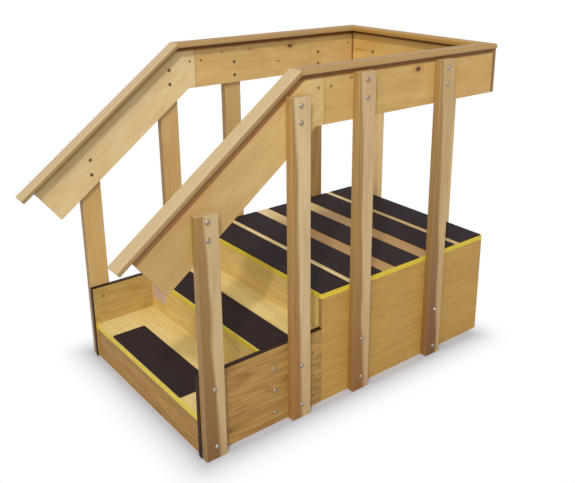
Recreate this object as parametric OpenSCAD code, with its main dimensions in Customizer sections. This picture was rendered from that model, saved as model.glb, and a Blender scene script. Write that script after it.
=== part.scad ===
// One-sided training staircase: two treads and a railed platform, for walking practice.
// +X is the way up the steps, +Y is the climber's left, +Z is up.
// Millimetres. The origin is at the bottom centre of the whole staircase.

/* [Steps] */
// Height of each of the three rises
rise = 156; // [120:1:180]
// Going, the distance from one nosing to the next
going_len = 270; // [240:5:320]
// Width across the outer faces of the side panels
width = 890; // [700:10:1200]
// Distance of the first nosing behind the front edge of the side panels
nosing_in = 6; // [2:1:15]
// Distance of each riser behind its nosing
riser_in = 3; // [2:1:12]
// Height of the step side panels above the second tread
side_lip = 13; // [5:1:40]

/* [Platform] */
// Length of the platform deck
deck_len = 946; // [700:2:1400]
// Radius of the deck's two front corners
deck_r = 10; // [6:1:20]

/* [Boards] */
// Thickness of the panels, treads and rail boards
board_t = 19; // [15:1:25]
// Thickness of the black edge band on the step side panels
band_t = 3; // [1:0.5:4]
// Thickness of the yellow edging on the treads and the deck
edging_t = 4; // [2:0.5:5]

/* [Anti-slip mats] */
// Thickness of the mats and strips
mat_t = 3; // [1:0.5:5]
// Depth of the two tread mats, front to back
tread_mat_d = 147; // [100:1:200]
// Width of the mat on the first tread
mat_1_w = 564; // [300:2:660]
// Gap between the ends of the second mat and the side panels
mat_2_gap = 16; // [5:1:60]
// Distance of the tread mats behind the yellow edging
mat_in = 3; // [1:1:12]
// Corner radius of the tread mats
mat_r = 9; // [4:1:20]
// Gap behind the first deck strip
strip_gap_1 = 28; // [10:1:80]
// Gap behind the second deck strip
strip_gap_2 = 74; // [10:1:80]
// Gap behind the third deck strip
strip_gap_3 = 78; // [10:1:80]
// Gap behind the fourth deck strip
strip_gap_4 = 32; // [10:1:80]
// Corner radius of the deck strips
strip_r = 5; // [2:1:6]

/* [Handrails] */
// Height of the level rail boards above the deck, to their lower edge
rail_clear = 660; // [500:1:800]
// Height of the rail boards
rail_h = 184; // [120:1:200]
// Angle of the sloped rails
rail_slope = 37.1; // [30:0.1:40]
// Distance of the rails' upper bend in front of the deck's front edge
bend_ahead = 91; // [60:1:130]
// Distance of the joint between sloped and level boards behind the deck's front edge
joint_in = 8; // [0:1:60]
// Length of the sloped boards along their lower edge
slope_len = 767; // [600:1:800]
// Width of the cap rails
cap_w = 70; // [60:1:90]
// Distance of the cap rails' outer edges beyond the side boards
cap_out = 6; // [5:1:20]
// Thickness of the cap rails
cap_t = 20; // [18:1:25]
// Radius of the cap rails' top edges
cap_r = 9; // [2:0.5:10]
// Radius of the cap rails' lower edges
cap_r_low = 4; // [1:0.5:5]
// Length of cap beyond the lower end of each sloped board
cap_over = 55; // [20:1:90]

/* [Posts] */
// Width of the posts along the rails
post_w = 85; // [60:1:100]
// Thickness of the posts
post_t = 32; // [25:1:45]
// Radius of the posts' long edges
post_r = 3; // [1:0.5:6]
// Distance of the first posts behind the side panels' front edge
post_1_x = 3; // [0:1:20]
// Distance of the second posts' front side in front of the deck's front edge
post_2_ahead = 162; // [130:1:200]
// Distance of the third right post behind the deck's front edge
post_right_3_in = 142; // [80:1:220]
// Distance of the third left post behind the deck's front edge
post_left_3_in = 168; // [80:1:220]
// Distance of the fourth right post in front of the rear panel
post_right_4_in = 288; // [100:1:320]
// Distance of the fourth left post in front of the rear panel
post_left_4_in = 203; // [100:1:320]
// Distance of the left rear post's middle from the left side
post_rear_left_in = 168; // [60:1:300]
// Distance of the right rear post's middle from the right side
post_rear_right_in = 264; // [60:1:300]
// Distance of the first posts' tops below the sloped cap rails, at the posts' front side
post_1_gap = 53; // [20:1:120]
// The same for the second posts
post_2_gap = 10; // [6:1:60]
// Distance of the other posts' tops below the level cap rails
post_top_gap = 12; // [5:1:40]

/* [Hidden] */
$fn = 48;

right = -1;
left = 1;
steps = 2;
deck_z = (steps + 1) * rise;
half_w = width / 2;
inner_w = width - 2 * board_t;
// places along X, counted from the front edge of the side panels
deck_x = nosing_in + steps * going_len;
body_x = deck_x + riser_in;
end_x = deck_x + deck_len;
stair_side_h = steps * rise + side_lip;
rail_z = deck_z + rail_clear;
rail_top = rail_z + rail_h;
bend_x = deck_x - bend_ahead;
joint_x = deck_x + joint_in;
bend_low_x = bend_x + rail_h * tan(rail_slope / 2);
slope_top_len = slope_len + rail_h * tan(rail_slope / 2);
cap_slope_len = slope_top_len + cap_over;
cap_low_x = bend_x - cap_slope_len * cos(rail_slope) - cap_t * sin(rail_slope);
strip_gaps = [0, strip_gap_1, strip_gap_2, strip_gap_3, strip_gap_4];
strip_d = (deck_len - edging_t - sum_to(strip_gaps, 4)) / 5;
post_2_x = deck_x - post_2_ahead;
cap_y = half_w + cap_out - cap_w / 2;
cap_corner_x = end_x - cap_w / 2;
// shift from the panels' front edge to the middle of the whole length
front_x = -(cap_low_x + end_x + post_t) / 2;
reach = 2 * cap_w;

laminate = "#BE9553";
tread_wood = "#D9B86C";
rail_wood = "#CDA764";
cap_wood = "#BE9F6C";
post_wood = "#C9AD82";
mat_black = "#2B2628";
band_black = "#2A1C12";
edging_yellow = "#D6C03A";

// sum of a list's items up to the given one
function sum_to(list, last) = last < 0 ? 0 : list[last] + sum_to(list, last - 1);

// height of the sloped boards' top edge at a place along X
function slope_top(x) = rail_top - (bend_x - x) * tan(rail_slope);

// places its children from the panels' front edge into the part's frame
module placed() {
    translate([front_x, 0, 0]) children();
}

// puts a piece on the left, or its mirror image on the right
module on_side(side) {
    mirror([0, side == left ? 0 : 1, 0]) children();
}

// box of the full inner width between the side panels
module cross_board(x, z, depth, height) {
    translate([x, -inner_w / 2, z]) cube([depth, inner_w, height]);
}

// flat plate with four rounded corners, lying on z
module mat(x, z, depth, w, r) {
    translate([x, -w / 2, z])
        linear_extrude(mat_t)
            rounded_rect(depth, w, r);
}

module rounded_rect(a, b, r) {
    translate([r, 0]) square([a - 2 * r, b]);
    translate([0, r]) square([a, b - 2 * r]);
    for (x = [r, a - r], y = [r, b - r]) translate([x, y]) circle(r = r);
}

// deck outline with two rounded front corners, set in by the given amount at front and sides
module deck_outline(inset) {
    r = deck_r - inset;
    w = width - 2 * inset;
    translate([deck_x + inset + r, -w / 2]) square([deck_len - inset - r, w]);
    translate([deck_x + inset, -w / 2 + r]) square([deck_len - inset, w - 2 * r]);
    for (y = [-w / 2 + r, w / 2 - r]) translate([deck_x + inset + r, y]) circle(r = r);
}

module stair_side() {
    translate([band_t, half_w - board_t, 0])
        cube([body_x - band_t, board_t, stair_side_h - band_t]);
}

module side_edging() {
    translate([0, half_w, 0])
        rotate([90, 0, 0])
            linear_extrude(board_t)
                union() {
                    square([band_t, stair_side_h]);
                    translate([0, stair_side_h - band_t]) square([body_x, band_t]);
                }
}

module riser(n) {
    cross_board(nosing_in + (n - 1) * going_len + riser_in, 0, board_t, n * rise - board_t);
}

module tread(n) {
    x = nosing_in + (n - 1) * going_len;
    cross_board(x + edging_t, n * rise - board_t, going_len + riser_in - edging_t, board_t);
}

module nosing(n) {
    cross_board(nosing_in + (n - 1) * going_len, n * rise - board_t, edging_t, board_t);
}

module platform_side() {
    translate([body_x, half_w - board_t, 0])
        cube([end_x - body_x, board_t, deck_z - board_t]);
}

module deck_strip(n) {
    x = deck_x + edging_t + (n - 1) * strip_d + sum_to(strip_gaps, n - 1);
    mat(x, deck_z, strip_d, width - 2 * edging_t, strip_r);
}

module rail_slope_board() {
    c = cos(rail_slope);
    s = sin(rail_slope);
    low = [bend_low_x - slope_len * c, rail_z - slope_len * s];
    translate([0, half_w, 0])
        rotate([90, 0, 0])
            linear_extrude(board_t)
                polygon([[bend_x, rail_top], [joint_x, rail_top], [joint_x, rail_z],
                    [bend_low_x, rail_z], low, [low[0] - rail_h * s, low[1] + rail_h * c]]);
}

module rail_level_board() {
    translate([joint_x, half_w - board_t, rail_z])
        cube([end_x - board_t - joint_x, board_t, rail_h]);
}

// cross section of the cap rails, its bottom middle at the origin
module cap_section() {
    translate([-cap_w / 2, cap_r_low]) square([cap_w, cap_t - cap_r - cap_r_low]);
    translate([-cap_w / 2 + cap_r_low, 0]) square([cap_w - 2 * cap_r_low, cap_t - cap_r]);
    translate([-cap_w / 2 + cap_r, 0]) square([cap_w - 2 * cap_r, cap_t]);
    for (side = [left, right]) {
        translate([side * (cap_w / 2 - cap_r), cap_t - cap_r]) circle(r = cap_r);
        translate([side * (cap_w / 2 - cap_r_low), cap_r_low]) circle(r = cap_r_low);
    }
}

// cap rail along +X from the origin
module cap_bar(length) {
    rotate([90, 0, 90]) linear_extrude(length) cap_section();
}

// half of space behind a plane across the origin that faces +X
module cut_behind() {
    translate([-reach, -reach, -reach]) cube([reach, 2 * reach, 2 * reach]);
}

module cap_slope() {
    translate([bend_x, cap_y, rail_top])
        difference() {
            rotate([0, -rail_slope, 0])
                translate([-cap_slope_len, 0, 0]) cap_bar(cap_slope_len + cap_w);
            rotate([0, -rail_slope / 2, 0])
                mirror([1, 0, 0]) cut_behind();
        }
}

module cap_level() {
    translate([0, cap_y, rail_top])
        difference() {
            translate([bend_x - cap_w, 0, 0]) cap_bar(cap_corner_x - bend_x + 2 * cap_w);
            translate([bend_x, 0, 0])
                rotate([0, -rail_slope / 2, 0]) cut_behind();
            translate([cap_corner_x, 0, 0])
                rotate([0, 0, -45])
                    mirror([1, 0, 0]) cut_behind();
        }
}

module cap_rear_bar() {
    translate([cap_corner_x, 0, rail_top])
        difference() {
            translate([0, -cap_y - cap_w, 0])
                rotate([0, 0, 90]) cap_bar(2 * cap_y + 2 * cap_w);
            for (side = [left, right])
                mirror([0, side == left ? 0 : 1, 0])
                    translate([0, cap_y, 0])
                        rotate([0, 0, -45]) cut_behind();
        }
}

// upright post, its back face on y = 0
module post(x, h) {
    translate([x, 0, 0]) linear_extrude(h) rounded_rect(post_w, post_t, post_r);
}

module side_post(x, h) {
    translate([0, half_w, 0]) post(x, h);
}

module level_post(x) {
    side_post(x, rail_top - post_top_gap);
}

module rear_post(y) {
    translate([end_x, y - post_w / 2, 0])
        linear_extrude(rail_top - post_top_gap) rounded_rect(post_t, post_w, post_r);
}

module stair_side_right() { color(laminate) placed() on_side(right) stair_side(); }
module stair_side_left() { color(laminate) placed() on_side(left) stair_side(); }
module side_edging_right() { color(band_black) placed() on_side(right) side_edging(); }
module side_edging_left() { color(band_black) placed() on_side(left) side_edging(); }
module riser_1() { color(laminate) placed() riser(1); }
module riser_2() { color(laminate) placed() riser(2); }
module tread_1() { color(tread_wood) placed() tread(1); }
module tread_2() { color(tread_wood) placed() tread(2); }
module tread_1_nosing() { color(edging_yellow) placed() nosing(1); }
module tread_2_nosing() { color(edging_yellow) placed() nosing(2); }
module tread_1_mat() {
    x = nosing_in + edging_t + mat_in;
    color(mat_black) placed() mat(x, rise, tread_mat_d, mat_1_w, mat_r);
}
module tread_2_mat() {
    x = nosing_in + going_len + edging_t + mat_in;
    color(mat_black) placed() mat(x, 2 * rise, tread_mat_d, inner_w - 2 * mat_2_gap, mat_r);
}
module platform_side_right() { color(laminate) placed() on_side(right) platform_side(); }
module platform_side_left() { color(laminate) placed() on_side(left) platform_side(); }
module platform_front() {
    color(laminate) placed() cross_board(body_x, 0, board_t, deck_z - board_t);
}
module platform_rear() {
    color(laminate) placed() cross_board(end_x - board_t, 0, board_t, deck_z - board_t);
}
module platform_deck() {
    color(tread_wood) placed()
        translate([0, 0, deck_z - board_t]) linear_extrude(board_t) deck_outline(edging_t);
}
module deck_edging() {
    color(edging_yellow) placed()
        translate([0, 0, deck_z - board_t])
            linear_extrude(board_t)
                difference() {
                    deck_outline(0);
                    deck_outline(edging_t);
                }
}
module deck_strip_1() { color(mat_black) placed() deck_strip(1); }
module deck_strip_2() { color(mat_black) placed() deck_strip(2); }
module deck_strip_3() { color(mat_black) placed() deck_strip(3); }
module deck_strip_4() { color(mat_black) placed() deck_strip(4); }
module deck_strip_5() { color(mat_black) placed() deck_strip(5); }
module rail_slope_right() { color(rail_wood) placed() on_side(right) rail_slope_board(); }
module rail_slope_left() { color(rail_wood) placed() on_side(left) rail_slope_board(); }
module rail_level_right() { color(rail_wood) placed() on_side(right) rail_level_board(); }
module rail_level_left() { color(rail_wood) placed() on_side(left) rail_level_board(); }
module rail_rear() {
    color(rail_wood) placed()
        translate([end_x - board_t, -half_w, rail_z])
            cube([board_t, width, rail_h]);
}
module cap_slope_right() { color(cap_wood) placed() on_side(right) cap_slope(); }
module cap_slope_left() { color(cap_wood) placed() on_side(left) cap_slope(); }
module cap_level_right() { color(cap_wood) placed() on_side(right) cap_level(); }
module cap_level_left() { color(cap_wood) placed() on_side(left) cap_level(); }
module cap_rear() { color(cap_wood) placed() cap_rear_bar(); }
module post_right_1() {
    color(post_wood) placed() on_side(right) side_post(post_1_x, slope_top(post_1_x) - post_1_gap);
}
module post_right_2() {
    color(post_wood) placed() on_side(right) side_post(post_2_x, slope_top(post_2_x) - post_2_gap);
}
module post_right_3() {
    color(post_wood) placed() on_side(right) level_post(deck_x + post_right_3_in);
}
module post_right_4() {
    color(post_wood) placed() on_side(right) level_post(end_x - post_right_4_in - post_w);
}
module post_left_1() {
    color(post_wood) placed() on_side(left) side_post(post_1_x, slope_top(post_1_x) - post_1_gap);
}
module post_left_2() {
    color(post_wood) placed() on_side(left) side_post(post_2_x, slope_top(post_2_x) - post_2_gap);
}
module post_left_3() {
    color(post_wood) placed() on_side(left) level_post(deck_x + post_left_3_in);
}
module post_left_4() {
    color(post_wood) placed() on_side(left) level_post(end_x - post_left_4_in - post_w);
}
module post_rear_left() { color(post_wood) placed() rear_post(half_w - post_rear_left_in); }
module post_rear_right() { color(post_wood) placed() rear_post(post_rear_right_in - half_w); }

stair_side_right();
stair_side_left();
side_edging_right();
side_edging_left();
riser_1();
riser_2();
tread_1();
tread_2();
tread_1_nosing();
tread_2_nosing();
tread_1_mat();
tread_2_mat();
platform_side_right();
platform_side_left();
platform_front();
platform_rear();
platform_deck();
deck_edging();
deck_strip_1();
deck_strip_2();
deck_strip_3();
deck_strip_4();
deck_strip_5();
rail_slope_right();
rail_slope_left();
rail_level_right();
rail_level_left();
rail_rear();
cap_slope_right();
cap_slope_left();
cap_level_right();
cap_level_left();
cap_rear();
post_right_1();
post_right_2();
post_right_3();
post_right_4();
post_left_1();
post_left_2();
post_left_3();
post_left_4();
post_rear_left();
post_rear_right();
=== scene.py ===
# %% [markdown]
# # A training staircase: two steps, a platform and a wooden handrail
# The construction comes ready from the CAD model as a fixed frame: side panels, treads, deck, posts,
# rail boards and cap rails, each a named node in metres. This lesson dresses that frame. It gives each
# kind of wood, rubber and edging its own finish, and models the small fasteners that hold the posts.

# %% Load the frame
import math

import bmesh
import bpy
from mathutils import Matrix, Vector


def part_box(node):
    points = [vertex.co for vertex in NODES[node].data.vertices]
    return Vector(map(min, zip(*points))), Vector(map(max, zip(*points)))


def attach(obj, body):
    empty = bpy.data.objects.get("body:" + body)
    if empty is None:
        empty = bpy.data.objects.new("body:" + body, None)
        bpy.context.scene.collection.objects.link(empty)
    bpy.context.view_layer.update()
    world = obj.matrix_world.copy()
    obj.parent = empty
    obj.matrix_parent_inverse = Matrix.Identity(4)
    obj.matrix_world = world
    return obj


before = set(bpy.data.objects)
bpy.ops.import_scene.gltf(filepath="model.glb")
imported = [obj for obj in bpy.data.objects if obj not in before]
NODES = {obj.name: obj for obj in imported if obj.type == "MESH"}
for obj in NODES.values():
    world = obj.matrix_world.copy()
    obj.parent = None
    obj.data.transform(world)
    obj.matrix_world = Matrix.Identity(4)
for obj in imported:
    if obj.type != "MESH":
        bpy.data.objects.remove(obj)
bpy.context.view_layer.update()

# %% [markdown]
# ## Where things are
# Every position below starts from a box of the frame, so the dressing follows the construction if a
# size changes there. The row frame has +X up the steps, +Y to the climber's left and +Z up. Distances
# along the staircase are counted from the front edge of the step panels, as a joiner would measure.

# %% Measures taken from the frame
MM = 0.001


def low(name):
    """The lowest corner of a node's box."""
    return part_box(name)[0]


def high(name):
    """The highest corner of a node's box."""
    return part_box(name)[1]


FRONT = low("side_edging_right").x  # front edge of the step panels
RIGHT, LEFT = low("stair_side_right").y, high("stair_side_left").y  # outer faces of the panels
BOARD = high("stair_side_right").y - RIGHT  # thickness of the panels and of the rail boards
INNER_RIGHT, INNER_LEFT = RIGHT + BOARD, LEFT - BOARD
REAR_IN = low("rail_rear").x  # inner face of the rear board
JOINT = high("rail_slope_right").x  # where the sloping and the level board meet
BEND = high("cap_slope_right").x  # where the cap rail turns level
RAIL_TOP = high("rail_level_right").z
print("boards", round(BOARD / MM, 1), "mm thick, up to", round(RAIL_TOP, 3), "m")

# %% [markdown]
# ## The camera
# The staircase is seen from its right front corner, a little above the handrail, with a lens of about
# 47 mm. The camera could be aimed at the middle of the object, but then it would look down more
# steeply and the uprights would spread apart towards their tops more than they do to the eye. So the
# lens is lowered a little in its mount, as an architect's camera does it.

# %% Camera
LENS_MM, SENSOR_MM = 46.91, 36.0
SHIFT = (-0.0345, -0.1104)
CAMERA_PLACE = (-1.7293, -2.4044, 1.7606)
LOOKS_DOWN, TURNS_RIGHT = 17.94, 38.82  # degrees below level, and to the right of +Y
lens = bpy.data.cameras.new("camera")
lens.lens, lens.sensor_width = LENS_MM, SENSOR_MM
lens.shift_x, lens.shift_y = SHIFT
camera = bpy.data.objects.new("camera", lens)
camera.location = CAMERA_PLACE
camera.rotation_euler = (math.radians(90 - LOOKS_DOWN), 0, -math.radians(TURNS_RIGHT))
bpy.context.scene.collection.objects.link(camera)
bpy.context.scene.camera = camera
print("camera at", tuple(round(v, 2) for v in camera.location))

# %% [markdown]
# ## Light, floor and background
# A catalogue studio has a small key lamp a few metres off, here high at the front right: a disk of
# 350 mm, so the handrail lays a clear shadow with a slightly soft border over the treads. A broad
# light overhead and a wide fill from the front right keep the shadows open; both are suns with
# a wide disc, which give the same level everywhere. The floor and the world show white only to
# camera, gloss and glass rays, so that whiteness adds no light to the wood. Close to the base the
# floor stays as it is lit, so it keeps the soft shadow there, and it fades to white farther out.

# %% One function for colours and one for nodes


def linear(code):
    """An sRGB hex colour as linear red, green, blue and alpha."""
    parts = [int(code[i:i + 2], 16) / 255 for i in (1, 3, 5)]
    return [c / 12.92 if c <= 0.04045 else ((c + 0.055) / 1.055) ** 2.4 for c in parts] + [1.0]


def add(tree, kind, inputs=(), out=None, stops=(), **settings):
    """Adds a shader node and returns it, or its output out. settings are its options, inputs the
    values or links by socket, stops the (place, grey) of a colour ramp. By number, a Map Range takes
    0 value, 1 and 2 from, 3 and 4 to; a Mix of colours takes 0 amount, 6 and 7 colours, output 2."""
    node = tree.nodes.new("ShaderNode" + kind)
    for key, value in settings.items():
        setattr(node, key, value)
    for socket, value in dict(inputs).items():
        if isinstance(value, bpy.types.NodeSocket):
            tree.links.new(value, node.inputs[socket])
        else:
            node.inputs[socket].default_value = value
    for i, (place, grey) in enumerate(stops):
        ramp = node.color_ramp.elements
        stop = ramp[i] if i < 2 else ramp.new(place)
        stop.position, stop.color = place, (grey, grey, grey, 1)
    return node if out is None else node.outputs[out]


WHITE = linear("#FFFFFF")
print("white is", WHITE, "and mid grey is", round(linear("#808080")[0], 3))

# %% World
ROOM_LIGHT = 0.32  # what the wood gets from the room; seen directly, the room is 1, which is white


def seen_directly(tree):
    """1 for camera, gloss and glass rays, 0 for the rays that carry light to the wood."""
    path = add(tree, "LightPath").outputs
    either = add(tree, "Math", {0: path["Is Camera Ray"], 1: path["Is Glossy Ray"]}, 0,
                 operation="MAXIMUM")
    return add(tree, "Math", {0: either, 1: path["Is Transmission Ray"]}, 0, operation="MAXIMUM")


world = bpy.data.worlds.new("studio")
bpy.context.scene.world = world
world.use_nodes = True
tree = world.node_tree
tree.nodes.clear()
soft = add(tree, "Background", {"Color": WHITE, "Strength": ROOM_LIGHT}, 0)
white = add(tree, "Background", {"Color": WHITE, "Strength": 1.0}, 0)
both = add(tree, "MixShader", {0: seen_directly(tree), 1: soft, 2: white}, 0)
add(tree, "OutputWorld", {"Surface": both})
print("world", world.name, "gives", ROOM_LIGHT)

# %% Lamps
KEY_PLACE, KEY_AIM = Vector((-3.37, -3.36, 5.26)), Vector((-0.2, -0.2, 0.6))
KEY_DISK, KEY_WATTS = 350 * MM, 162


def sun(name, azimuth, elevation, strength, disc):
    """A sun that shines from an azimuth (0 is the right side, negative the front) and an elevation."""
    light = bpy.data.lights.new(name, "SUN")
    light.energy, light.angle = strength, math.radians(disc)
    lamp = bpy.data.objects.new(name, light)
    a, e = math.radians(azimuth), math.radians(elevation)
    away = Vector((math.sin(a) * math.cos(e), -math.cos(a) * math.cos(e), math.sin(e)))
    lamp.rotation_euler = away.to_track_quat("Z", "Y").to_euler()
    bpy.context.scene.collection.objects.link(lamp)


panel = bpy.data.lights.new("key", "AREA")
panel.shape, panel.size, panel.energy = "DISK", KEY_DISK, KEY_WATTS
key = bpy.data.objects.new("key", panel)
key.location = KEY_PLACE
key.rotation_euler = (KEY_PLACE - KEY_AIM).to_track_quat("Z", "Y").to_euler()
bpy.context.scene.collection.objects.link(key)
sun("top", azimuth=-45, elevation=84, strength=1.05, disc=60)
sun("fill", azimuth=-42, elevation=18, strength=1.43, disc=60)

# %% Floor plane
FLOOR_SIZE = 40  # metres


def deselect():
    """Takes everything out of the selection, the nodes of the frame too."""
    bpy.ops.object.select_all(action="DESELECT")


deselect()
bpy.ops.mesh.primitive_plane_add(size=FLOOR_SIZE, location=(0, 0, 0))
floor = bpy.context.object
floor.name = "floor"
print("floor", round(floor.dimensions.x, 1), "m wide")

# %% Floor finish
SHADE_REACH, SHADE_POWER = 190 * MM, 2.2  # how far out the lit floor shows, and how fast it fades
REAR_SHORT = 60 * MM  # the fade starts this much short of the rear posts

pale = bpy.data.materials.new("pale studio floor")
pale.use_nodes = True
tree = pale.node_tree
tree.nodes.clear()
where = add(tree, "TexCoord", out="Object")
base_low = Vector((FRONT, low("post_right_1").y, 0))
base_high = Vector((low("post_rear_left").x - REAR_SHORT, high("post_left_1").y, 0))
beyond = add(tree, "VectorMath", {0: where, 1: (base_low + base_high) / 2}, 0, operation="SUBTRACT")
beyond = add(tree, "VectorMath", {0: beyond}, 0, operation="ABSOLUTE")
beyond = add(tree, "VectorMath", {0: beyond, 1: (base_high - base_low) / 2}, 0, operation="SUBTRACT")
beyond = add(tree, "VectorMath", {0: beyond, 1: (0, 0, 0)}, 0, operation="MAXIMUM")
beyond = add(tree, "VectorMath", {0: beyond}, "Value", operation="LENGTH")
close = add(tree, "MapRange", {0: beyond, 1: 0.0, 2: SHADE_REACH, 3: 1.0, 4: 0.0}, 0)
close = add(tree, "Math", {0: close, 1: SHADE_POWER}, 0, operation="POWER")
fade = add(tree, "Math", {0: 1.0, 1: close}, 0, operation="SUBTRACT")
fade = add(tree, "Math", {0: fade, 1: seen_directly(tree)}, 0, operation="MULTIPLY")
paint = add(tree, "BsdfDiffuse", {"Color": linear("#C1C3C9")}, 0)
far = add(tree, "Emission", {"Color": WHITE, "Strength": 1.0}, 0)
cover = add(tree, "MixShader", {0: fade, 1: paint, 2: far}, 0)
add(tree, "OutputMaterial", {"Surface": cover})
floor.data.materials.append(pale)
print("lit floor shows out to", round(SHADE_REACH / MM), "mm from the base")

# %% [markdown]
# ## Wood, in one recipe
# All the timber is sawn from a log, so one recipe serves for it: growth rings that a flat cut turns
# into long arches, fine fibres along the grain, slow changes of tone, and darker end grain where a
# board is cut across. A texture image would stretch at the ends and repeat. A pattern in space runs
# through the board like the real one, and each board cuts another part of it. The Mapping node turns
# the pattern so that its X lies along the grain. Fibres are about 0.2 mm wide in hardwood, too fine
# to show at this distance, so they are drawn 3.5 to 6 mm wide.

# %% Grain directions and drawn-out noise
ALONG, ACROSS, UP = (0, 0, 0), (0, 0, 90), (0, -90, 0)  # turns in degrees that lay X along the grain


def stretched(tree, place, along, across, detail=1.0, seed=0.0):
    """Noise whose spots are along x across in millimetres, with the grain on local X. The seed moves
    the pattern, so that each board cuts another part of it."""
    size = (1 / (along * MM), 1 / (across * MM), 1 / (across * MM))
    spots = add(tree, "VectorMath", {0: place, 1: size, 2: (seed, 1.7 * seed, 0.6 * seed)}, 0,
                operation="MULTIPLY_ADD")
    return add(tree, "TexNoise", {"Vector": spots, "Scale": 1.0, "Detail": detail,
                                  "Roughness": 0.55}, 0)


print("grain along, across and up the staircase:", ALONG, ACROSS, UP)

# %% Wood recipe
# One growth ring in five stops: it darkens slowly, is darkest in its late wood, and ends sharply.
RING = [(0.0, 0.0), (1.0, 0.1), (0.45, 0.25), (0.82, 1.0), (0.9, 0.9)]
END_STARTS, END_FULL = 0.75, 0.9  # how squarely a face cuts the grain when the end tone sets in
SHINIEST, DULLEST = 0.40, 0.53  # roughness of satin lacquer between and on the fibres
FIBRE_HEIGHT = 0.25 * MM


def wood(name, tones, grain, arch, rings, figure, fibre, cloud, end="#8A6238", level=0.3, seed=0.0,
         extra=None):
    """tones: pale and dark hex. grain: turn in degrees that lays X along the grain. arch: length and
    width in mm of the arches, with rings lines in each of strength figure. fibre, cloud: length and
    width in mm, and strength. end: hex of the end grain. level: strength of the reflections.
    extra: a function that adds layers over the colour."""
    made = bpy.data.materials.new(name)
    made.use_nodes = True
    tree = made.node_tree
    shader = tree.nodes["Principled BSDF"]
    coords = add(tree, "TexCoord").outputs
    turn = [math.radians(t) for t in grain]
    place = add(tree, "Mapping", {"Vector": coords["Object"], "Rotation": turn}, 0,
                vector_type="TEXTURE")
    hill = stretched(tree, place, *arch, seed=seed)
    ring = add(tree, "Math", {0: hill, 1: rings}, 0, operation="MULTIPLY")
    ring = add(tree, "Math", {0: ring}, 0, operation="FRACT")
    ring = add(tree, "ValToRGB", {0: ring}, 0, stops=RING)
    dark = add(tree, "Math", {0: ring, 1: figure, 2: 0.5 - 0.4 * figure}, 0, operation="MULTIPLY_ADD")
    thread = stretched(tree, place, fibre[0], fibre[1], detail=3.0, seed=seed + 5)
    mist = stretched(tree, place, cloud[0], cloud[1], seed=seed + 11)
    for noise, strength in ((thread, fibre[2]), (mist, cloud[2])):
        swing = add(tree, "Math", {0: noise, 1: 0.5}, 0, operation="SUBTRACT")
        dark = add(tree, "Math", {0: swing, 1: strength, 2: dark}, 0, operation="MULTIPLY_ADD")
    dark = add(tree, "Clamp", {0: dark}, 0)
    colour = add(tree, "Mix", {0: dark, 6: linear(tones[0]), 7: linear(tones[1])}, 2,
                 data_type="RGBA")
    if extra:
        colour = extra(tree, coords["Object"], place, colour)
    grain_turn = Matrix.Identity(3)
    for axis, angle in zip("XYZ", turn):
        grain_turn = Matrix.Rotation(angle, 3, axis) @ grain_turn
    cut = add(tree, "VectorMath", {0: coords["Normal"], 1: grain_turn @ Vector((1, 0, 0))}, "Value",
              operation="DOT_PRODUCT")
    cut = add(tree, "Math", {0: cut}, 0, operation="ABSOLUTE")
    cut = add(tree, "MapRange", {0: cut, 1: END_STARTS, 2: END_FULL}, 0)
    colour = add(tree, "Mix", {0: cut, 6: colour, 7: linear(end)}, 2, data_type="RGBA")
    rough = add(tree, "MapRange", {0: thread, 1: 0.3, 2: 0.7, 3: SHINIEST, 4: DULLEST}, 0)
    bump = add(tree, "Bump", {"Height": thread, "Strength": 0.25, "Distance": FIBRE_HEIGHT}, 0)
    for socket, source in (("Base Color", colour), ("Roughness", rough), ("Normal", bump)):
        tree.links.new(source, shader.inputs[socket])
    shader.inputs["Specular IOR Level"].default_value = level
    print("wood", name, "with", len(tree.nodes), "nodes")
    return made


# %% A finish for nodes of the frame


def finish(nodes, material):
    """Gives the named nodes of the frame a material, in the slot they already have."""
    for name in nodes:
        NODES[name].material_slots[0].material = material


print("nodes to finish", len(NODES))

# %% [markdown]
# ## Panels
# The step and platform sides are panels with an oak laminate: a printed or sliced oak face on a flat
# core, with the grain lying along the staircase. The faces across the staircase have the grain from
# side to side. Laminate is flatter in tone than solid wood, but its arches are clear. The step sides
# are darker and streakier than the platform's. The first riser is the brownest, with painted shade
# just under its nosing, where the nosing's shadow falls. A thin clear coat gives them all a satin
# sheen.

# %% Oak laminate on the sides
# Oak laminate, pressed flat: even tone and fine regular arches, which the eye reads as a panel.
oak_side = wood("oak laminate, grain along", ("#C49A4F", "#A17833"), ALONG, arch=(520, 40), rings=6,
                figure=0.3, fibre=(140, 4, 0.5), cloud=(500, 90, 0.4), end="#A27C45")
# The near step side: broad figure and strong dark streaks, which give it the most worn look.
oak_step = wood("oak laminate on the step sides", ("#B7904D", "#8A6229"), ALONG, arch=(420, 80),
                rings=6, figure=0.42, fibre=(110, 4.5, 1.1), cloud=(220, 60, 1.1), seed=7)
# The far step side: calmer, and a little greyer where it shows past the steps.
oak_far = wood("oak laminate on the far step side", ("#C3A35F", "#9D793C"), ALONG, arch=(420, 60),
               rings=6, figure=0.35, fibre=(120, 3.5, 0.5), cloud=(300, 90, 0.5), seed=17)
finish(["platform_side_right", "platform_side_left"], oak_side)
finish(["stair_side_right"], oak_step)
finish(["stair_side_left"], oak_far)

# %% Oak laminate on the risers
# painted shade: how far down from the nosing the first riser is darkened
NOSING_SHADE_DEPTH = 45 * MM


def painted_nosing_shade(tree, where, place, colour):
    """Extra layer: painted shade on the first riser just under its nosing, where the nosing's shadow
    falls.
    """
    up = add(tree, "SeparateXYZ", {0: where}, 2)
    top = high("riser_1").z
    nosing_shade = add(tree, "MapRange", {0: up, 1: top - NOSING_SHADE_DEPTH, 2: top, 3: 0.0, 4: 0.5}, 0,
              interpolation_type="SMOOTHSTEP")
    return add(tree, "Mix", {0: nosing_shade, 6: colour, 7: linear("#805C12")}, 2, data_type="RGBA")


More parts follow.
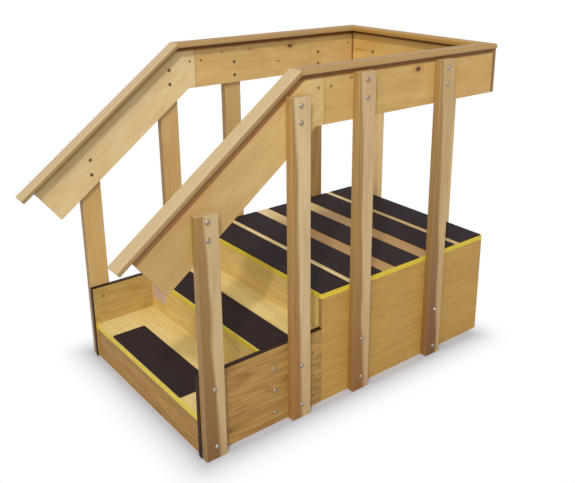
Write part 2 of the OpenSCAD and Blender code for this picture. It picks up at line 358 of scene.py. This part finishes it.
# Pale laminate across the staircase: its lines run sideways, so the fronts stand out from the sides.
oak_riser = wood("oak laminate on the risers", ("#E5C67B", "#C49F54"), ACROSS, arch=(700, 44),
                 rings=6, figure=0.4, fibre=(160, 3.5, 0.5), cloud=(420, 80, 0.4), seed=3)
# The first riser: brown and streaky, darker than the other risers, with painted shade under its
# nosing.
oak_first = wood("oak laminate on the first riser", ("#AF8332", "#936620"), ACROSS, arch=(700, 44),
                 rings=6, figure=0.5, fibre=(90, 4.5, 1.0), cloud=(200, 40, 1.2), seed=13,
                 extra=painted_nosing_shade)
finish(["riser_1"], oak_first)
finish(["riser_2", "platform_front", "platform_rear"], oak_riser)

# %% [markdown]
# ## Treads and deck
# The treads and the deck are pale birch plywood under a clear lacquer, with the grain from side to
# side. Between the rubber strips the deck is browner with painted shade of the rails: from the
# second gap on, more towards the right, and less again in the rearmost gap.

# %% Birch plywood
# Painted shade of the rails on the deck: where it sets in, along and across the staircase
BROWN_STARTS, BROWN_FULL = FRONT + 700 * MM, FRONT + 820 * MM  # along the staircase
PALE_SIDE, BROWN_SIDE = 420 * MM, 160 * MM  # across it, from its middle to the left


def painted_deck_shade(tree, where, place, colour):
    """Extra layer: painted shade of the rails, a browner tone towards the right and the rear of the
    deck.
    """
    x, y, _ = add(tree, "SeparateXYZ", {0: where}).outputs
    back = add(tree, "MapRange", {0: x, 1: BROWN_STARTS, 2: BROWN_FULL}, 0,
               interpolation_type="SMOOTHSTEP")
    side = add(tree, "MapRange", {0: y, 1: PALE_SIDE, 2: BROWN_SIDE}, 0,
               interpolation_type="SMOOTHSTEP")
    rear = add(tree, "MapRange", {0: x, 1: low("deck_strip_4").x, 2: low("deck_strip_5").x, 3: 1.0,
                                  4: 0.45}, 0)
    brown = add(tree, "Math", {0: back, 1: side}, 0, operation="MULTIPLY")
    brown = add(tree, "Math", {0: brown, 1: rear}, 0, operation="MULTIPLY")
    return add(tree, "Mix", {0: brown, 6: colour, 7: linear("#AC834D")}, 2, data_type="RGBA")


# Birch plywood, rotary cut: wide, faint arches on a pale ground, so the treads look light and clean.
tread = wood("birch plywood treads, lacquered", ("#E4CF8E", "#CAAC67"), ACROSS, arch=(900, 60),
             rings=7, figure=0.35, fibre=(220, 4, 0.6), cloud=(420, 90, 0.4), seed=9)
# The same on the deck, cut from another sheet, with painted shade of the rails over it.
deck = wood("birch plywood deck, lacquered", ("#E9D3A0", "#CEAF74"), ACROSS, arch=(900, 60),
            rings=7, figure=0.35, fibre=(220, 4, 0.6), cloud=(420, 90, 0.4), seed=12, extra=painted_deck_shade)
finish(["tread_1", "tread_2"], tread)
finish(["platform_deck"], deck)

# %% [markdown]
# ## Posts with heartwood
# The posts are solid hardwood, planed, with rounded arrises and a clear lacquer. Each was cut near
# the middle of the tree, so one side is brown heartwood and the other is pale sapwood, and the
# border between them wanders up the post. A second tone with a soft, slanting edge makes that. The
# edge is placed from the box of each post, so each near post has its own material. Their heartwood
# has painted light on the faces that look to the front, which makes it a little paler there, and
# their feet are browner. The far posts show no border: they are one tone with darker front faces,
# and the last one is brown all over. The rear pair is the palest.

# %% A tone for one direction
FRONTWARD, UPWARD = (-1, 0, 0), (0, 0, 1)


def facing(direction, shade, amount):
    """Extra layer: another tone on the faces that look in a direction."""
    def layer(tree, where, place, colour):
        normal = add(tree, "TexCoord", out="Normal")
        mask = add(tree, "VectorMath", {0: normal, 1: direction}, "Value", operation="DOT_PRODUCT")
        mask = add(tree, "MapRange", {0: mask, 1: 0.35, 2: 0.75, 3: 0.0, 4: amount}, 0,
                   interpolation_type="SMOOTHSTEP")
        return add(tree, "Mix", {0: mask, 6: colour, 7: linear(shade)}, 2, data_type="RGBA")
    return layer


print("front faces look along", FRONTWARD, "and top faces along", UPWARD)

# %% Heartwood
WANDER = 0.35  # how far the edge wanders, as a share of the post's width
HEART_DEPTH = 0.88  # how much of the heartwood's tone covers the sapwood
FOOT_REACH, FOOT_BROWN = 0.45, 0.32  # the brown foot: share of the height, and amount at the floor


def heartwood(post, heart, shares):
    """Extra layer: heartwood from the post's front arris to a slanting edge. heart: its hex at the
    foot and at the top. shares: how much of the width it covers at the foot and at the top."""
    first, last = low(post), high(post)
    height = last.z - first.z

    def layer(tree, where, place, colour):
        x, _, z = add(tree, "SeparateXYZ", {0: where}).outputs
        share = add(tree, "MapRange", {0: z, 1: 0.0, 2: height, 3: shares[0], 4: shares[1]}, 0)
        wander = stretched(tree, place, 330, 60, seed=first.x * 9)
        wander = add(tree, "Math", {0: wander, 1: 0.5}, 0, operation="SUBTRACT")
        share = add(tree, "Math", {0: wander, 1: WANDER, 2: share}, 0, operation="MULTIPLY_ADD")
        across = add(tree, "MapRange", {0: x, 1: first.x, 2: last.x}, 0)
        inside = add(tree, "Math", {0: share, 1: across}, 0, operation="SUBTRACT")
        mask = add(tree, "MapRange", {0: inside, 1: -0.05, 2: 0.07, 3: 0.0, 4: HEART_DEPTH}, 0,
                   interpolation_type="SMOOTHSTEP")
        up = add(tree, "MapRange", {0: z, 1: 0.1 * height, 2: height}, 0)
        tone = add(tree, "Mix", {0: up, 6: linear(heart[0]), 7: linear(heart[1])}, 2,
                   data_type="RGBA")
        # painted light: the heartwood is paler on the faces that look to the front
        tone = facing(FRONTWARD, "#B08A50", 0.3)(tree, where, place, tone)
        streak = stretched(tree, place, 420, 8, detail=2.0, seed=first.x * 5)
        streak = add(tree, "MapRange", {0: streak, 1: 0.5, 2: 0.72, 3: 0.0, 4: 0.55}, 0)
        tone = add(tree, "Mix", {0: streak, 6: tone, 7: linear("#6E4A24")}, 2, data_type="RGBA")
        foot = add(tree, "MapRange", {0: z, 1: 0.0, 2: FOOT_REACH * height, 3: FOOT_BROWN,
                                      4: 0.0}, 0)
        colour = add(tree, "Mix", {0: foot, 6: colour, 7: linear("#9A713A")}, 2, data_type="RGBA")
        colour = add(tree, "Mix", {0: mask, 6: colour, 7: tone}, 2, data_type="RGBA")
        edge = add(tree, "Math", {0: inside}, 0, operation="ABSOLUTE")
        edge = add(tree, "MapRange", {0: edge, 1: 0.02, 2: 0.10, 3: 0.5, 4: 0.0}, 0)
        return add(tree, "Mix", {0: edge, 6: colour, 7: linear("#86602F")}, 2, data_type="RGBA")
    return layer


print("the heartwood's edge wanders by", WANDER / 2, "of the width to each side at most")

# %% Near posts
# Lacquered hardwood: dark and pale side by side in one piece, which says solid timber to the eye.
near_posts = {  # sapwood tones, heartwood at the foot and the top, its shares there
    "post_right_1": (("#D2BC8F", "#AC8A57"), ("#744F1D", "#97713A"), (0.62, 0.32)),
    "post_right_2": (("#DBC59A", "#B4915E"), ("#8E5C1C", "#AC803A"), (0.52, 0.14)),
    "post_right_3": (("#D4BA8E", "#AE8956"), ("#7F4F15", "#AE8A48"), (0.60, 0.14)),
    "post_right_4": (("#CDB583", "#A8834E"), ("#67390A", "#A9834A"), (0.72, 0.14)),
}
for number, (post, (tones, heart, shares)) in enumerate(near_posts.items(), 1):
    finish([post], wood(f"lacquered hardwood {post}", tones, UP, arch=(700, 60), rings=4, figure=0.15,
                        fibre=(150, 4, 0.5), cloud=(300, 60, 0.4), end="#B2966A", seed=number,
                        extra=heartwood(post, heart, shares)))

# %% Far and rear posts
# The same timber without a border: warm and even. Darker fronts keep the far posts' edges crisp.
dark_front = facing(FRONTWARD, "#7C5830", 0.7)
far_wood = wood("lacquered hardwood far posts", ("#DCB97B", "#B48C51"), UP, arch=(600, 60), rings=3,
                figure=0.15, fibre=(150, 4, 0.5), cloud=(300, 60, 0.5), end="#D2B07A", seed=21,
                extra=dark_front)
brown_wood = wood("lacquered hardwood brown far post", ("#BF9860", "#966B38"), UP, arch=(600, 60),
                  rings=4, figure=0.3, fibre=(150, 4, 0.5), cloud=(300, 30, 0.6), end="#B2966A",
                  seed=24, extra=dark_front)
rear_wood = wood("lacquered hardwood rear posts", ("#F8DCA2", "#D4AA6B"), UP, arch=(600, 60), rings=3,
                 figure=0.15, fibre=(150, 4, 0.5), cloud=(300, 60, 0.5), end="#D2B07A", seed=27)
finish(["post_left_1", "post_left_2", "post_left_3"], far_wood)
finish(["post_left_4"], brown_wood)
finish(["post_rear_left", "post_rear_right"], rear_wood)

# %% [markdown]
# ## Rail boards
# Tall boards carry the handrail: two slope with the steps, two are level, and one closes the rear.
# They are solid hardwood with the grain along the board and a few small knots. Just under the cap
# rail each board has a dark band: partly a dark line in the corner, partly painted shade that stands
# in for the cap's shadow. Fine dark seams show where two boards meet, and the rear board has one
# short crack near its left end. The knots are dark ovals, longer along the grain. They are placed in
# millimetres from the front edge of the step panels and from the floor, and the seams from the faces
# of the frame.

# %% Seams and a crack
ENDLESS = 5000  # a half size in mm that is longer than any board
CRACK_SIDE, CRACK_UP = 0.370, 1.216  # its middle: to the left, and above the floor


def dark_lines(tree, where, colour, lines):
    """Lines where boards meet or crack: centre in metres, half sizes in mm, hex and strength."""
    for centre, half, shade, amount in lines:
        away = add(tree, "VectorMath", {0: where, 1: centre}, 0, operation="SUBTRACT")
        away = add(tree, "VectorMath", {0: away, 1: [1 / (h * MM) for h in half]}, 0,
                   operation="MULTIPLY")
        away = add(tree, "VectorMath", {0: away}, "Value", operation="LENGTH")
        line = add(tree, "MapRange", {0: away, 1: 0.2, 2: 1.0, 3: amount, 4: 0.0}, 0)
        colour = add(tree, "Mix", {0: line, 6: colour, 7: linear(shade)}, 2, data_type="RGBA")
    return colour


butt = ((JOINT, 0, RAIL_TOP), (3, ENDLESS, ENDLESS), "#7A5326", 0.5)
corner = ((REAR_IN, INNER_LEFT, RAIL_TOP), (10, 10, ENDLESS), "#7A5326", 0.85)
crack = ((REAR_IN, CRACK_SIDE, CRACK_UP), (9, 60, 3.4), "#6B4519", 0.85)
print("boards meet", round((JOINT - FRONT) / MM), "mm from the front edge of the step panels")

# %% Knots
KNOT_SQUEEZE = 0.55  # distances along the grain count this much, so a knot is longer there
KNOT_RIPPLE = 6 * MM
# The brown ring, then the core: full out to and gone by, in radii, then the amount and the hex.
KNOT_RINGS = ((0.7, 2.6, 0.45, "#A36F35"), (0.5, 1.0, 0.9, "#2E1806"))


def with_knots(tree, where, place, colour, knots):
    """Knots as (x, z, radius) in mm: a dark core in a brown ring, with an uneven outline."""
    for x, z, radius in knots:
        spot = Vector((FRONT + x * MM, 0, z * MM))
        away = add(tree, "VectorMath", {0: where, 1: spot}, 0, operation="SUBTRACT")
        away = add(tree, "VectorMath", {0: away, 1: (KNOT_SQUEEZE, 0, 1.0)}, 0, operation="MULTIPLY")
        reach = add(tree, "VectorMath", {0: away}, "Value", operation="LENGTH")
        ripple = stretched(tree, place, 30, 9, seed=x * 0.01)
        ripple = add(tree, "Math", {0: ripple, 1: 0.5}, 0, operation="SUBTRACT")
        reach = add(tree, "Math", {0: ripple, 1: KNOT_RIPPLE, 2: reach}, 0, operation="MULTIPLY_ADD")
        for full, end, amount, shade in KNOT_RINGS:
            mask = add(tree, "MapRange", {0: reach, 1: full * radius * MM, 2: end * radius * MM,
                                          3: amount, 4: 0.0}, 0, interpolation_type="SMOOTHSTEP")
            colour = add(tree, "Mix", {0: mask, 6: colour, 7: linear(shade)}, 2, data_type="RGBA")
    return colour


print("a knot is", round(1 / KNOT_SQUEEZE, 1), "times as long as it is high")

# %% Dark line and painted shade under the cap
SLOPE = 37.1  # degrees, of the sloping boards
TILTED = (0, -SLOPE, 0)


def painted_shade_under_cap(tree, where, colour, cap_shade_bands):
    """Dark band under the cap rail, partly painted shade of the cap, for each entry: slope in
    degrees, reach and softness in mm, and hex.
    """
    for slope, reach, soft, shade in cap_shade_bands:
        tilt = math.radians(slope)
        drop = add(tree, "VectorMath", {0: where, 1: (BEND, 0, RAIL_TOP)}, 0, operation="SUBTRACT")
        drop = add(tree, "VectorMath", {0: drop, 1: (math.sin(tilt), 0, -math.cos(tilt))}, "Value",
                   operation="DOT_PRODUCT")
        mask = add(tree, "MapRange", {0: drop, 1: (reach - soft) * MM, 2: reach * MM, 3: 1.0,
                                      4: 0.0}, 0)
        colour = add(tree, "Mix", {0: mask, 6: colour, 7: linear(shade)}, 2, data_type="RGBA")
    return colour


# Dark line and painted shade under each cap, which stands in for its shadow: slope, reach, softness,
# hex
near_cap_shade, near_slope_cap_shade = (0, 21, 8, "#6A420F"), (SLOPE, 24, 6, "#8A5C30")
far_cap_shade, far_slope_cap_shade = (0, 26, 9, "#7A4E1E"), (SLOPE, 26, 8, "#7A4E1E")
rear_cap_shade = (0, 22, 6, "#7A4E1E")
print("sloping boards lie at", SLOPE, "degrees, with dark lines of", near_cap_shade[1], "to",
      far_cap_shade[1], "mm")

# %% Boards


def board_marks(knots, cap_shade_bands, low_end, lines):
    """Extra layer with all the marks of a board and the painted shade under its cap. low_end is how
    much of a darker brown the board has at the foot of the slope; it goes to 0 at the bend."""
    def layer(tree, where, place, colour):
        along = add(tree, "SeparateXYZ", {0: where}, 0)
        brown = add(tree, "MapRange", {0: along, 1: FRONT, 2: BEND, 3: low_end, 4: 0.0}, 0)
        colour = add(tree, "Mix", {0: brown, 6: colour, 7: linear("#8F6728")}, 2, data_type="RGBA")
        colour = dark_lines(tree, where, colour, lines)
        colour = with_knots(tree, where, place, colour, knots)
        return painted_shade_under_cap(tree, where, colour, cap_shade_bands)
    return layer


# Lacquered hardwood boards: weak arches and short cloudy patches, so they look planed and solid.
boards = {  # tones, grain, then knots, dark line and painted shade under the cap, low end and lines
    "rail_slope_right": (("#DDBF80", "#BF985C"), TILTED, [], [near_slope_cap_shade, near_cap_shade], 0.4,
                         [butt]),
    "rail_level_right": (("#D4AF6E", "#B48948"), ALONG, [(1022, 1274, 10), (680, 1282, 4)],
                         [near_cap_shade], 0.0, [butt]),
    "rail_slope_left": (("#EEDAA6", "#D6B47A"), TILTED, [], [far_slope_cap_shade, far_cap_shade], 0.12,
                        [butt]),
    "rail_level_left": (("#E3C07E", "#C59A58"), ALONG,
                        [(1073, 1264, 9), (693, 1270, 3), (840, 1270, 3), (1003, 1200, 3)],
                        [far_cap_shade], 0.0, [butt, corner]),
    "rail_rear": (("#EEC576", "#D0A052"), ACROSS, [], [rear_cap_shade], 0.0, [corner, crack]),
}
for i, (board, (tones, grain, *marks)) in enumerate(boards.items()):
    finish([board], wood(f"lacquered board {board}", tones, grain, arch=(600, 90), rings=5,
                         figure=0.14, fibre=(80, 6, 0.6), cloud=(130, 45, 0.7), seed=30 + 3 * i,
                         extra=board_marks(*marks)))

# %% [markdown]
# ## Cap rails
# The caps are the part that hands hold: wide, rounded along their edges and well lacquered. The
# sloping pair is pale, new wood, the level ones are browner. A second tone on the faces that look
# up is painted light and shade: it makes the sloping caps' tops paler than their edges, and the
# level and rear caps' tops darker.

# %% Cap rails
# Lacquered hardwood with weak reflections, so the tops keep their tone under the light overhead.
# Painted light and shade on the tops: paler than the edges on the sloping caps, darker on the others.
sloping = (("#AB9167", "#8E7242"), TILTED, ("#C1AA82", 0.8))
level = (("#C4A46F", "#A07B4D"), ALONG, ("#99753F", 0.8))
caps = {  # tones, grain, painted top tone in hex and amount: light on the sloping, shade on the rest
    "cap_slope_right": sloping,
    "cap_slope_left": sloping,
    "cap_level_right": level,
    "cap_level_left": level,
    "cap_rear": (("#C19450", "#9D7030"), ACROSS, ("#A07A37", 0.75)),
}
for i, (cap, (tones, grain, top)) in enumerate(caps.items()):
    finish([cap], wood(f"lacquered cap rail {cap}", tones, grain, arch=(900, 40), rings=4, figure=0.15,
                       fibre=(260, 4, 0.5), cloud=(400, 60, 0.4), end="#8F6B42", level=0.12,
                       seed=51 + 3 * i, extra=facing(UPWARD, *top)))

# %% [markdown]
# ## Mats, yellow edging and black bands
# The walking surfaces have black rubber mats with a fine grit, so that a foot doesn't slip. Grit of
# about 0.5 mm can't be seen from here, so it is drawn at 3 mm, faint, and its height roughens the
# highlight. The step and deck edges are capped with yellow plastic edging, and the step panels with
# a black band. Both are extruded plastic: even in colour, slightly uneven in gloss, a little dull.

# %% Moulded surfaces
CLOUD_SIZE = 180 * MM  # of the slow changes of tone
UNEVEN_GLOSS = 0.06


def moulded(name, colour, other, spot, rough, bump, level=0.5):
    """A moulded or extruded surface: two near tones in spots of a size in mm, uneven gloss round
    rough, and a relief of bump mm. level: strength of the reflections."""
    made = bpy.data.materials.new(name)
    made.use_nodes = True
    tree = made.node_tree
    shader = tree.nodes["Principled BSDF"]
    where = add(tree, "TexCoord", out="Object")
    grit = add(tree, "TexNoise", {"Vector": where, "Scale": 1 / (spot * MM), "Detail": 2.0}, 0)
    cloud = add(tree, "TexNoise", {"Vector": where, "Scale": 1 / CLOUD_SIZE, "Detail": 2.0}, 0)
    mix = add(tree, "Math", {0: cloud, 1: 0.4}, 0, operation="MULTIPLY")
    mix = add(tree, "Math", {0: grit, 1: 0.6, 2: mix}, 0, operation="MULTIPLY_ADD")
    mix = add(tree, "MapRange", {0: mix, 1: 0.35, 2: 0.65}, 0)
    shade = add(tree, "Mix", {0: mix, 6: linear(colour), 7: linear(other)}, 2, data_type="RGBA")
    gloss = add(tree, "MapRange", {0: mix, 3: rough - UNEVEN_GLOSS, 4: rough + UNEVEN_GLOSS}, 0)
    relief = add(tree, "Bump", {"Height": grit, "Strength": 0.6, "Distance": bump * MM}, 0)
    for socket, source in (("Base Color", shade), ("Roughness", gloss), ("Normal", relief)):
        tree.links.new(source, shader.inputs[socket])
    shader.inputs["Specular IOR Level"].default_value = level
    print(name, "in spots of", spot, "mm")
    return made


# %% Rubber and plastic
# Gritted rubber: nearly black, with hardly any reflection, so it looks soft and dry underfoot.
finish([n for n in NODES if n.endswith("_mat") or n.startswith("deck_strip")],
       moulded("gritted rubber mat", "#241A1B", "#2C2122", spot=3.0, rough=0.8, bump=0.5, level=0.15))
# Extruded plastic in full yellow with a broad, weak highlight: the edge that the eye finds first.
finish(["tread_1_nosing", "tread_2_nosing", "deck_edging"],
       moulded("yellow extruded edging", "#DDC43A", "#CEB232", spot=14.0, rough=0.5, bump=0.1,
               level=0.3))
# Extruded plastic in brownish black, duller than the yellow: it draws the outline of the steps.
finish(["side_edging_right", "side_edging_left"],
       moulded("black edge band", "#22140B", "#2C1B10", spot=10.0, rough=0.6, bump=0.1, level=0.15))

# %% [markdown]
# ## Fasteners
# The posts are held by dome-head bolts that pass through the boards and the side panels. Inside, on
# the rail boards and above the first tread, each ends in a flat, recessed nut; the others end under
# the treads and the deck, out of sight. The step panels have rows of smaller screws. A head is a
# cylinder whose top face is inset and raised in steps until it is domed, which is quick and gives
# clean rings of faces. It is modelled once, and each copy has its own mesh, turned to its face.

# %% A turned head


def pick(shape, test):
    """In edit mode, selects the faces for which test(centre, normal) is true."""
    mesh = bmesh.from_edit_mesh(shape.data)
    for face in mesh.faces:
        face.select_set(bool(test(face.calc_center_median(), face.normal)))
    mesh.select_flush_mode()
    bmesh.update_edit_mesh(shape.data)


def turned(name, radius, rim, rings, recess=None, sides=20):
    """A head on the floor plane: a rim of a height, then rings of (inset, rise) and a recess of
    (inset, depth), all in mm."""
    deselect()
    bpy.ops.mesh.primitive_cylinder_add(vertices=sides, radius=radius * MM, depth=rim * MM,
                                        location=(0, 0, rim * MM / 2))
    head = bpy.context.object
    head.name = name
    bpy.ops.object.transform_apply(location=True)
    bpy.ops.object.mode_set(mode="EDIT")
    bpy.context.tool_settings.mesh_select_mode = (False, False, True)
    pick(head, lambda centre, normal: normal.z > 0.9)
    for inset, rise in rings:
        bpy.ops.mesh.inset(thickness=inset * MM)
        bpy.ops.transform.translate(value=(0, 0, rise * MM))
    if recess:
        inset, depth = recess
        bpy.ops.mesh.inset(thickness=inset * MM)
        bpy.ops.mesh.extrude_region_move(TRANSFORM_OT_translate={"value": (0, 0, -depth * MM)})
    bpy.ops.object.mode_set(mode="OBJECT")
    bpy.ops.object.shade_smooth_by_angle(angle=math.radians(50))
    print(name, "has", len(head.data.polygons), "faces and is",
          round(head.dimensions.z / MM, 1), "mm high")
    return head


# %% Fastener masters
bolt = turned("bolt", radius=9.3, rim=1.3, rings=[(1.0, 1.4), (1.5, 1.2), (1.9, 0.9), (2.2, 0.4)])
nut = turned("nut", radius=7.4, rim=1.0, rings=[(0.8, 0.5)], recess=(2.4, 1.0), sides=18)
screw = turned("screw", radius=8.5, rim=1.0, rings=[(1.2, 1.3), (1.8, 0.8)], recess=(1.4, 1.0),
               sides=18)
plug = turned("plug", radius=5.0, rim=0.5, rings=[(0.8, 0.5)], recess=(1.6, 0.8), sides=14)

# %% [markdown]
# ## Metals
# The bolt heads are zinc-plated steel, bright and only a little hazy. The nuts and plugs in the wood
# have darkened. The nuts in the step panels have an old, yellowed plating. One recipe gives all three
# from two tones and a roughness, where a metal made by hand for each would say the same three times.

# %% Metals


def metal(name, colour, other, rough):
    """A metal whose plating varies a little in spots of about 4 mm."""
    made = moulded(name, colour, other, spot=4.0, rough=rough, bump=0.05)
    made.node_tree.nodes["Principled BSDF"].inputs["Metallic"].default_value = 1.0
    return made


# Bright plating: a small sharp highlight on each dome, which makes it look round.
zinc = metal("bright zinc-plated steel", "#A69D93", "#867A6D", rough=0.26)
# Darkened steel: brownish and hazy, so it sinks into the wood as a dark dot.
dull = metal("darkened steel", "#8A7660", "#705C48", rough=0.45)
# Weathered plating: rough, and close to the tone of the oak, so it hardly shows.
old_plating = metal("weathered zinc-plated steel", "#B3A275", "#9B8A60", rough=0.55)

# %% Copies set out on a face
TO_RIGHT = Matrix.Rotation(math.radians(90), 4, "X")
TO_LEFT = Matrix.Rotation(math.radians(-90), 4, "X")
TO_REAR = Matrix.Rotation(math.radians(90), 4, "Y")
TO_FRONT = Matrix.Rotation(math.radians(-90), 4, "Y")


def set_out(name, master, material, turn, spots):
    """Copies the master to each spot, turned to its face, and joins the copies into one piece.
    Returns how many there are."""
    deselect()
    copies = []
    for spot in spots:
        copy = bpy.data.objects.new(name, master.data.copy())
        copy.data.transform(Matrix.Translation(spot) @ turn)
        copy.data.materials.append(material)
        bpy.context.scene.collection.objects.link(copy)
        copy.select_set(True)
        copies.append(copy)
    bpy.context.view_layer.objects.active = copies[0]
    if len(copies) > 1:
        bpy.ops.object.join()
    copies[0].name = name
    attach(copies[0], "root")
    return len(spots)


print("a head turned to the right looks along", tuple(round(v) for v in TO_RIGHT @ Vector(UPWARD)))

# %% Bolts and nuts
heights = {  # of the bolts on each post, in mm above the floor; the upper two end in a nut inside
    "post_right_1": (894, 831, 280, 49), "post_right_2": (1219, 1160, 226, 57),
    "post_right_3": (1272, 1208, 229, 56), "post_right_4": (1270, 1204, 218, 40),
    "post_left_1": (891, 828, 280, 49), "post_left_2": (1217, 1156, 226, 57),
    "post_left_3": (1221, 1162, 229, 56), "post_left_4": (1220, 1163, 218, 40),
    "post_rear_left": (1216, 1156, 229, 56), "post_rear_right": (1216, 1156, 229, 56),
}
fitted = 0
for post, levels in heights.items():
    first, last = low(post), high(post)
    middle = (first + last) / 2
    if "rear" in post:
        outside, inside = (last.x, middle.y), (REAR_IN, middle.y)
        outward, inward = TO_REAR, TO_FRONT
    elif "right" in post:
        outside, inside = (middle.x, first.y), (middle.x, INNER_RIGHT)
        outward, inward = TO_RIGHT, TO_LEFT
    else:
        outside, inside = (middle.x, last.y), (middle.x, INNER_LEFT)
        outward, inward = TO_LEFT, TO_RIGHT
    on_post = [Vector((*outside, z * MM)) for z in levels]
    on_board = [Vector((*inside, z * MM)) for z in levels]
    fitted += set_out(f"bolts_{post}", bolt, zinc, outward, on_post)
    fitted += set_out(f"nuts_{post}", nut, dull, inward, on_board[:2])
    if post.endswith("_1"):  # the first posts' third bolt passes through a step panel
        fitted += set_out(f"panel_nut_{post}", nut, old_plating, inward, on_board[2:3])
print("bolts and nuts", fitted)

# %% [markdown]
# ## Screws in the panels and at the board joints
# Where a step panel meets the riser behind it there is a column of three screws, and a darker column
# where it meets the platform, with one more near its front foot. At the joint of the sloping and the
# level board a small plug sits on each side of the line, and one more in the far board near the rear.

# %% Screws and plugs
RISER_COLUMN, PLATFORM_COLUMN = FRONT + 324 * MM, FRONT + 504 * MM
FRONT_FOOT, NEAR_REAR = FRONT + 123 * MM, FRONT + 1439 * MM
BEFORE_JOINT, BEHIND_JOINT = JOINT - 26 * MM, JOINT + 30 * MM
for side, y, turn in (("right", RIGHT, TO_RIGHT), ("left", LEFT, TO_LEFT)):
    set_out(f"panel_screws_{side}", screw, zinc, turn,
            [Vector((RISER_COLUMN, y, z * MM)) for z in (238, 144, 48)])
    set_out(f"platform_screws_{side}", plug, dull, turn,
            [Vector((PLATFORM_COLUMN, y, z * MM)) for z in (233, 139, 48)]
            + [Vector((FRONT_FOOT, y, 57 * MM))])
for side, y, z in (("right", RIGHT, 1262), ("left", INNER_LEFT, 1244)):
    set_out(f"joint_plugs_{side}", plug, dull, TO_RIGHT,
            [Vector((x, y, z * MM)) for x in (BEFORE_JOINT, BEHIND_JOINT)])
set_out("corner_plug", plug, dull, TO_RIGHT, [Vector((NEAR_REAR, INNER_LEFT, 1248 * MM))])
for master in (bolt, nut, screw, plug):
    bpy.data.objects.remove(master)

# %% [markdown]
# ## A bare label
# At the left end of the second riser sits a small paper label. It is left plain. A flat plate has its
# corners rounded with a vertex bevel and gets its thickness from Solidify, so that its edge catches
# light.

# %% Label plate
LABEL_HIGH, LABEL_WIDE = 60 * MM, 116 * MM
LABEL_CORNER, LABEL_THICK = 5 * MM, 0.4 * MM
LABEL_IN, LABEL_UP = 66 * MM, 236 * MM  # its middle: from the left panel, and above the floor
deselect()
bpy.ops.mesh.primitive_plane_add(size=1, location=(0, 0, 0))
label = bpy.context.object
label.name = "plain_label"
label.scale = (LABEL_HIGH, LABEL_WIDE, 1)
bpy.ops.object.transform_apply(scale=True)
bpy.ops.object.mode_set(mode="EDIT")
bpy.ops.mesh.select_all(action="SELECT")
bpy.ops.mesh.bevel(offset=LABEL_CORNER, segments=5, affect="VERTICES")
bpy.ops.object.mode_set(mode="OBJECT")
thick = label.modifiers.new("thickness", "SOLIDIFY")
thick.thickness, thick.offset = LABEL_THICK, 1.0
bpy.ops.object.modifier_apply(modifier="thickness")
print("label", tuple(round(v / MM, 1) for v in label.dimensions), "mm")

# %% Label in place
# Plain paper: matt, a little pinker than the wood round it, and without any print.
spot = Vector((low("riser_2").x, INNER_LEFT - LABEL_IN, LABEL_UP))
label.data.transform(Matrix.Translation(spot) @ TO_FRONT)
label.data.materials.append(moulded("plain paper label", "#CDB4A2", "#BC9F8B", spot=9.0, rough=0.6,
                                    bump=0.02))
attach(label, "root")
print("label at", tuple(round(v, 3) for v in spot))

# %% [markdown]
# ## Level colours
# The Standard view shows each colour about as it is written. Only the bolt heads stand out past
# the box of the frame, by about 5 mm.

# %% Level colours and a clear selection
scene = bpy.context.scene
scene.view_settings.view_transform = "Standard"
deselect()
